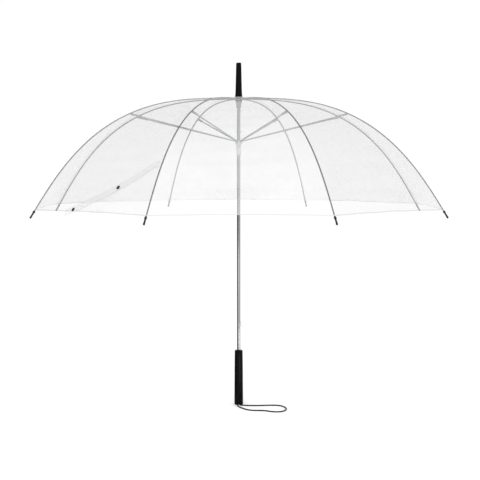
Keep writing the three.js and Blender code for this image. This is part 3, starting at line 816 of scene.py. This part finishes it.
place(wire_ring("crown_ring", WIRE_R, CROWN_Z), "shaft", SPRING_STEEL, "spring_steel", "crown_wire")
place(wire_ring("runner_ring", *RUNNER_WIRE), "runner", SPRING_STEEL, "spring_steel", "runner_wire")


def leaf(name, step_z, up, turn):
    """A flat leaf inside the shaft, bent out through its slot, with a square step at its end."""
    route = np.array([(2.6, -34), (2.6, -20), (2.6, -14), (3.0, -12.4), (4.6, -7.4), (5.8, -3.4), (6.15, -1.9),
                      (5.95, -0.75), (5.2, -0.42), (4.2, -0.4), (3.2, -0.4), (2.7, 0.1), (2.6, 1.2), (2.6, 2.9)])
    line = catmull([(x / 1000, 0, step_z + up * z / 1000) for x, z in route], 6)
    along = np.gradient(line, axis=0)
    normals = np.cross(along, (0, 1.0, 0))
    return spin(sweep(name, line, rounded_box(0.001, 0.00033, 0.00012, 3), normals), turn)


place(leaf("top_leaf", TOP_STEP, 1, math.pi / 2), "top_catch", SPRING_STEEL, "spring_steel", "top_spring")
place(leaf("bottom_leaf", BOTTOM_STEP, -1, 0), "bottom_catch", SPRING_STEEL, "spring_steel", "bottom_spring")

SLEEVE = SHAFT_R + GAP                       # bore of whatever sits on the shaft
ferrule_side = smooth_profile([(0.00838, ferrule_low + 0.0035), (0.00785, ferrule_low + 0.010),
                               (0.0075, ferrule_low + 0.020), (0.00725, ferrule_low + 0.030),
                               (0.0070, ferrule_low + 0.040), (0.0066, ferrule_low + 0.058),
                               (0.00615, ferrule_low + 0.0765)], 6)
ferrule = turned("long_ferrule", [(SLEEVE, ferrule_low), (0.0083, ferrule_low), (0.0086, ferrule_low + 0.0004),
                                  (0.0086, ferrule_low + 0.0026), (0.00845, ferrule_low + 0.0031)]
                 + ferrule_side + [(0.0061, ferrule_high - 0.0021), (0.0059, ferrule_high - 0.0013),
                                   (0.0053, ferrule_high - 0.0006), (0.0045, ferrule_high - 0.0002),
                                   (0.0036, ferrule_high - 0.0001), (0.0, ferrule_high),
                                   (0.0, shaft_high + GAP), (SLEEVE, shaft_high + GAP)], 96)
place(ferrule, "shaft", BLACK, "black_plastic", "ferrule")

cap = turned("clear_washer", rounded([(SLEEVE, cap_low), (0.012, cap_low), (0.012, cap_low + 0.0009),
                                      (0.0106, cap_high), (SLEEVE, cap_high)], 0.0003, 4), 96)
place(cap, "shaft", MILKY, "clear_plastic", "canopy_cap")


# ------------------------------------------------------------------ crown and runner
def rib_notches(inner, outer, low, high):
    """Cutters for the eight slots that the eyes sit in."""
    return [spin(box_mesh("notch", (inner, -0.0015, low), (outer, 0.0015, high)), (2 * k - 1) * ALPHA)
            for k in range(1, RIBS + 1)]


def ring_groove(radius, low, high):
    """A cutter for the groove that a wire lies in."""
    w = 0.0007
    return turned("groove", [(radius - w, low), (radius + w, low), (radius + w, high), (radius - w, high)], 72)


crown = turned("notched_crown", rounded([
    (SLEEVE, crown_low), (0.0056, crown_low), (0.0060, crown_low + 0.0088), (0.0088, crown_high - 0.003),
    (CROWN_RIM_R, crown_high - 0.002), (CROWN_RIM_R, crown_high), (SLEEVE, crown_high)], 0.0005, 4), 96)
cut(crown, rib_notches(0.0060, 0.013, crown_low - 0.001, crown_high + 0.001)
    + [ring_groove(WIRE_R, CROWN_Z - 0.0007, crown_high + 0.001),
       pin_along_x("hole", CROWN_PIN_R + GAP / 2, 0.03, crown_pin_z)])
place(crown, "shaft", SMOKY, "clear_plastic", "crown")

runner = turned("notched_runner", rounded([
    (RUNNER_BORE, runner_low), (0.0063, runner_low), (0.0063, runner_low + 0.002),
    (0.0055, runner_low + 0.0032), (0.0055, runner_high - 0.011), (0.0085, runner_high - 0.008),
    (0.0085, runner_high), (RUNNER_BORE, runner_high)], 0.0004, 4), 96)
cut(runner, rib_notches(0.0056, 0.011, runner_high - 0.020, runner_high + 0.001)
    + [ring_groove(RUNNER_WIRE[0], RUNNER_WIRE[1] - 0.0007, runner_high + 0.001),
       box_mesh("window", (0.003, -0.0015, runner_low + 0.011), (0.009, 0.0015, runner_low + 0.028))])
place(runner, "runner", MILKY, "clear_plastic", "runner")


# ------------------------------------------------------------------ handle
HANDLE_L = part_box("handle_grip")[1].z
FOOT_R, FOOT_ROUND, TOP_R, PLUG_R, PLUG_H = 0.0105, 0.0025, 0.0095, 0.007, 0.011
CORD_HOLE_R, CORD_HOLE_X, CORD_HOLE_Y = 0.0018, 0.0023, -0.004
foot = [(FOOT_R - FOOT_ROUND + FOOT_ROUND * math.sin(t), FOOT_ROUND - FOOT_ROUND * math.cos(t))
        for t in np.linspace(0, math.pi / 2, 12)]
grip = turned("straight_grip", [(PLUG_R, 0)] + foot + [
    (0.01045, 0.02), (0.0102, 0.055), (0.0100, 0.09), (0.0096, HANDLE_L - 0.006), (TOP_R, HANDLE_L - 0.0022),
    (0.00935, HANDLE_L - 0.0012), (0.0091, HANDLE_L - 0.0005), (0.0086, HANDLE_L),
    (SLEEVE, HANDLE_L), (SLEEVE, shaft_low - GAP), (PLUG_R, shaft_low - GAP)], 112)


def cord_channel():
    """A cutter for the channel that lets the cord out under the handle's edge."""
    return box_mesh("channel", (-0.0041, -0.0125, -0.001), (0.0041, -0.0022, 0.005))


cut(grip, [cord_channel()])
place(grip, "shaft", BLACK, "black_plastic", "handle_grip")
plug = turned("end_plug", rounded([(0, 0), (PLUG_R - GAP, 0), (PLUG_R - GAP, PLUG_H), (0, PLUG_H)],
                                  0.0004, 4), 72)
holes = []
for side in (-1, 1):
    hole = turned("hole", [(0, -0.001), (CORD_HOLE_R, -0.001), (CORD_HOLE_R, 0.009), (0, 0.009)], 24)
    hole.data.transform(Matrix.Translation((side * CORD_HOLE_X, CORD_HOLE_Y, 0)))
    holes.append(hole)
cut(plug, [cord_channel(), *holes])
place(plug, "shaft", TIP_BLACK, "black_plastic", "handle_plug")


# ------------------------------------------------------------------ tie strap and snaps
STRAP_W, STRAP_LIFT = 0.016, 0.0009
FILM_T, STRAP_COLUMNS = 0.0005, 13
SOCKET_AT, STUD_AT = 4 / 7, 6 / 7           # how far along the strap the two snaps sit
# u runs from rib 5 to rib 6; past is millimetres past the hem
strap_route = catmull([(u, HEM_S + past / 1000, 0) for u, past in (
    (0.985, -124), (0.94, -120), (0.89, -108), (0.83, -92), (0.69, -63), (0.53, -33), (0.37, -6),
    (0.31, 3))], 40)[:, :2]
rib5, rib6 = rib_axes(5)[0], rib_axes(6)[0]
UPZ = np.array([0, 0, 1.0])


def gore_point(u, s):
    """A point on the flat gore between ribs 5 and 6, on the film's outer face."""
    rise = RIB_H / 2 + GAP + RIB_W / 2 * math.tan(ALPHA) * math.sin(np.interp(s, _s, _droop)) + FILM_T
    r, z, _ = rib_point(s, rise)
    return r * ((1 - u) * rib5 + u * rib6) + z * UPZ


def strap_frame(t):
    """The strap's middle, normal and side, t of the way along it."""
    at = np.linspace(0, 1, len(strap_route))
    p = np.array([np.interp(t, at, strap_route[:, i]) for i in (0, 1)])
    q = np.array([np.interp(min(1, t + 0.004), at, strap_route[:, i]) for i in (0, 1)])
    o = np.array([np.interp(max(0, t - 0.004), at, strap_route[:, i]) for i in (0, 1)])
    across = gore_point(1, p[1]) - gore_point(0, p[1])
    down = gore_point(p[0], p[1] + 0.001) - gore_point(p[0], p[1])
    normal = np.cross(down, across)
    normal /= np.linalg.norm(normal)
    along = gore_point(*q) - gore_point(*o)
    along /= np.linalg.norm(along)
    side = np.cross(normal, along)
    return gore_point(*p) + normal * STRAP_LIFT, normal, side / np.linalg.norm(side)


def strap_piece(name, t0, t1, rows):
    """t0 and t1 give t at each e, from -1 to 1 across the strap."""
    cols = np.linspace(-1, 1, STRAP_COLUMNS)
    verts, edge = [], []
    for i in np.linspace(0, 1, rows):
        for e in cols:
            t = t0(e) * (1 - i) + t1(e) * i
            here, normal, side = strap_frame(t)
            wave = 0.0002 * math.sin(t * 40 + e) * (1 - e * e)
            verts.append(here + side * e * STRAP_W / 2 + normal * wave)
            edge.append(STRAP_W / 2 * (1 - abs(e)))
    return add_mesh(name, verts, grid_faces(rows, len(cols)), attributes={"edge_distance": edge})


mid_gore = (rib6 - rib5) / np.linalg.norm(rib6 - rib5)


def crossing(e):
    """Where along the strap its line at e crosses the middle of the gore."""
    low, high = 0.3, 0.98
    for _ in range(40):
        mid = (low + high) / 2
        here, _, side = strap_frame(mid)
        if (here + side * e * STRAP_W / 2) @ mid_gore > 0:
            low = mid
        else:
            high = mid
    return low


crossings = {float(e): crossing(e) for e in np.linspace(-1, 1, STRAP_COLUMNS)}


def split_t(e):
    """Where along the strap it is split, so that each half goes with its own rib."""
    return crossings[float(e)]


for name, t0, t1, k, rows in (("tie_strap_upper", lambda e: 0.0, split_t, 6, 60),
                              ("tie_strap_lower", split_t, lambda e: 1.0, 5, 36)):
    strap = strap_piece(name, t0, t1, rows)
    place(strap, f"rib_end_{k}", STRAP, "strap_film", "tie_strap")
    squash_with(strap)

socket_profile = rounded([(0, 0), (0.0043, 0), (0.0043, 0.0009), (0.0036, 0.0015), (0.0027, 0.0015),
                          (0.0024, 0.0009), (0.0016, 0.0009), (0.0014, 0.0004), (0, 0.0004)], 0.0002, 3)
stud_profile = rounded([(0, 0), (0.0043, 0), (0.0043, 0.0005), (0.0037, 0.0008), (0.0019, 0.0008),
                        (0.0015, 0.0010), (0.0017, 0.0014), (0.0014, 0.0016), (0, 0.0016)], 0.0002, 3)
SNAP_SEAT = 0.0008                          # from the middle of a snap to its base
for name, profile, t, k, node in (("snap_socket_part", socket_profile, SOCKET_AT, 6, "snap_socket"),
                                  ("snap_stud_part", stud_profile, STUD_AT, 5, "snap_stud")):
    low, high = (np.array(c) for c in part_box(node))
    _, normal, _ = strap_frame(t)
    base = (low + high) / 2 - normal * SNAP_SEAT
    button = turned(name, profile, 48)
    button.data.transform(Vector((0, 0, 1)).rotation_difference(Vector(normal)).to_matrix().to_4x4())
    button.data.transform(Matrix.Translation(tuple(base)))
    place(button, f"rib_end_{k}", SNAP_BLACK, "snap_plastic", node)
    squash_with(button)


# ------------------------------------------------------------------ studio
world = bpy.data.worlds.new("studio")
bpy.context.scene.world = world
world.use_nodes = True
world.node_tree.nodes["Background"].inputs["Color"].default_value = (1, 1, 1, 1)
world.node_tree.nodes["Background"].inputs["Strength"].default_value = 1.035

floor = box_mesh("floor", (-12, -8, -0.05), (12, 22, 0.0))
floor_mat, nodes, links, shader = material("floor", (0.985, 0.985, 0.985), 0.9, specular_ior_level=0.0)
grain = noise(nodes, links, 3.0)
links.new(mix_color(nodes, links, grain, (0.98, 0.98, 0.98), (0.99, 0.99, 0.99)), shader.inputs["Base Color"])
floor.data.materials.append(floor_mat)


def area_light(name, location, target, size, size_y, power):
    """A soft light that reflections don't see."""
    data = bpy.data.lights.new(name, "AREA")
    data.shape = "RECTANGLE"
    data.size, data.size_y, data.energy = size, size_y, power
    obj = bpy.data.objects.new(name, data)
    obj.location = location
    obj.rotation_euler = (Vector(target) - Vector(location)).to_track_quat("-Z", "Y").to_euler()
    obj.visible_glossy = False
    bpy.context.scene.collection.objects.link(obj)


area_light("front", (0.0, -3.3, 1.1), (0, 0, 0.5), 1.8, 1.2, 72)


def reflected_card(name, low, high, color, glow=0.0):
    """A studio card that only reflections see, so that it neither shows nor shades."""
    card = box_mesh(name, low, high)
    mat, _, _, shader = material(name, color, 0.9)
    shader.inputs["Emission Color"].default_value = (1, 1, 1, 1)
    shader.inputs["Emission Strength"].default_value = glow
    card.data.materials.append(mat)
    card.visible_camera = card.visible_diffuse = card.visible_shadow = card.visible_transmission = False


reflected_card("dark_card_near", (-0.122, -0.09, 0.001), (-0.12, 0.36, 0.715), (0.01, 0.01, 0.01))
reflected_card("dark_card_far", (-1.202, -3.0, 0.3), (-1.2, 3.5, 0.95), (0.01, 0.01, 0.01))
reflected_card("strip_card", (0.13, -0.262, 0.001), (0.19, -0.26, 0.085), (0, 0, 0), 14.0)

bpy.context.scene.view_settings.view_transform = "Standard"
